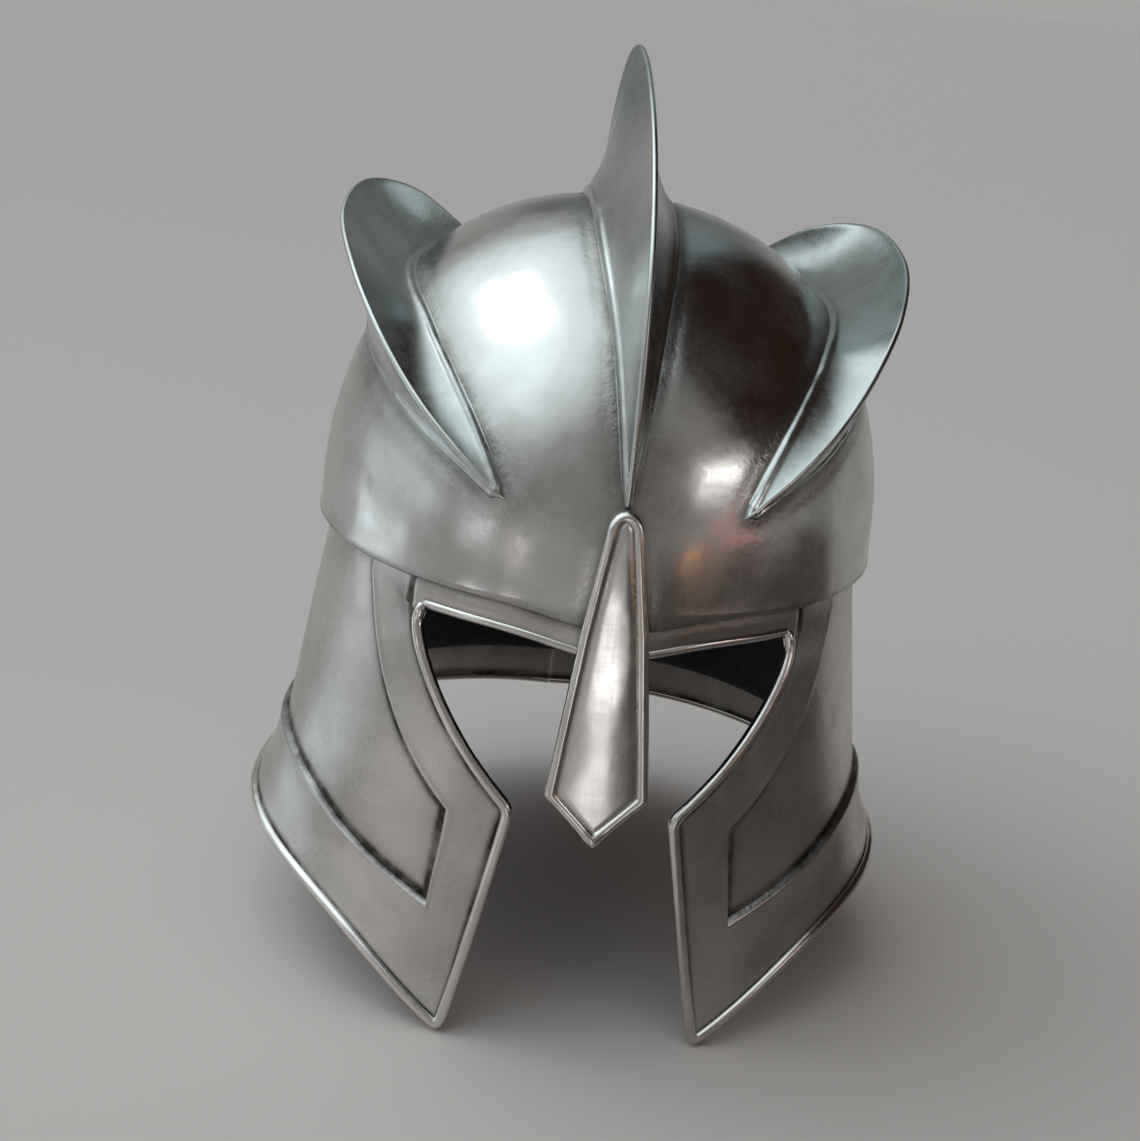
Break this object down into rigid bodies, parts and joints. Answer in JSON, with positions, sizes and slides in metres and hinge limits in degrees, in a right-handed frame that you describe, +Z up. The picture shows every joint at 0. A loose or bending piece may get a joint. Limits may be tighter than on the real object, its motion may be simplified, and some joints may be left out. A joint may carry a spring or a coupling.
{
  "type": "crested open-face helmet",
  "caption": "Welded sheet-steel helmet with a middle crest, outward-leaning ear fins, a nose guard, pointed cheek plates, a flared neck rim and black felt padding",
  "frame": {"origin": "the middle of the crown pad's flat underside, where the helmet sits on the head", "axes": "+Z up, -Y towards the face opening, +X to the wearer's left"},
  "size_m": [0.2528, 0.2635, 0.3461],
  "materials": {
    "skull_steel": "polished by hand, faint scratches, dark oxide at the welds",
    "side_steel": "satin, hand sanded",
    "edge_steel": "bright, worn by handling",
    "nasal_steel": "polished",
    "black_felt": "matte wool felt"
  },
  "bodies": {
    "root": {"skull_left": "skull_steel", "skull_right": "skull_steel", "crest_left": "skull_steel", "crest_right": "skull_steel", "fin_left_inner": "skull_steel", "fin_left_outer": "skull_steel", "fin_right_inner": "skull_steel", "fin_right_outer": "skull_steel", "side_panel_left": "side_steel", "side_panel_right": "side_steel", "cheek_border_left": "side_steel", "cheek_border_right": "side_steel", "brow_strip": "side_steel", "brow_roll": "edge_steel", "edge_roll_left": "edge_steel", "edge_roll_right": "edge_steel", "nasal_roll": "edge_steel", "nasal_plate": "nasal_steel", "crown_pad": "black_felt", "brow_pad": "black_felt", "temple_pad_left": "black_felt", "temple_pad_right": "black_felt", "nape_pad": "black_felt", "wall_lining_left": "black_felt", "wall_lining_right": "black_felt"}
  },
  "joints": []
}
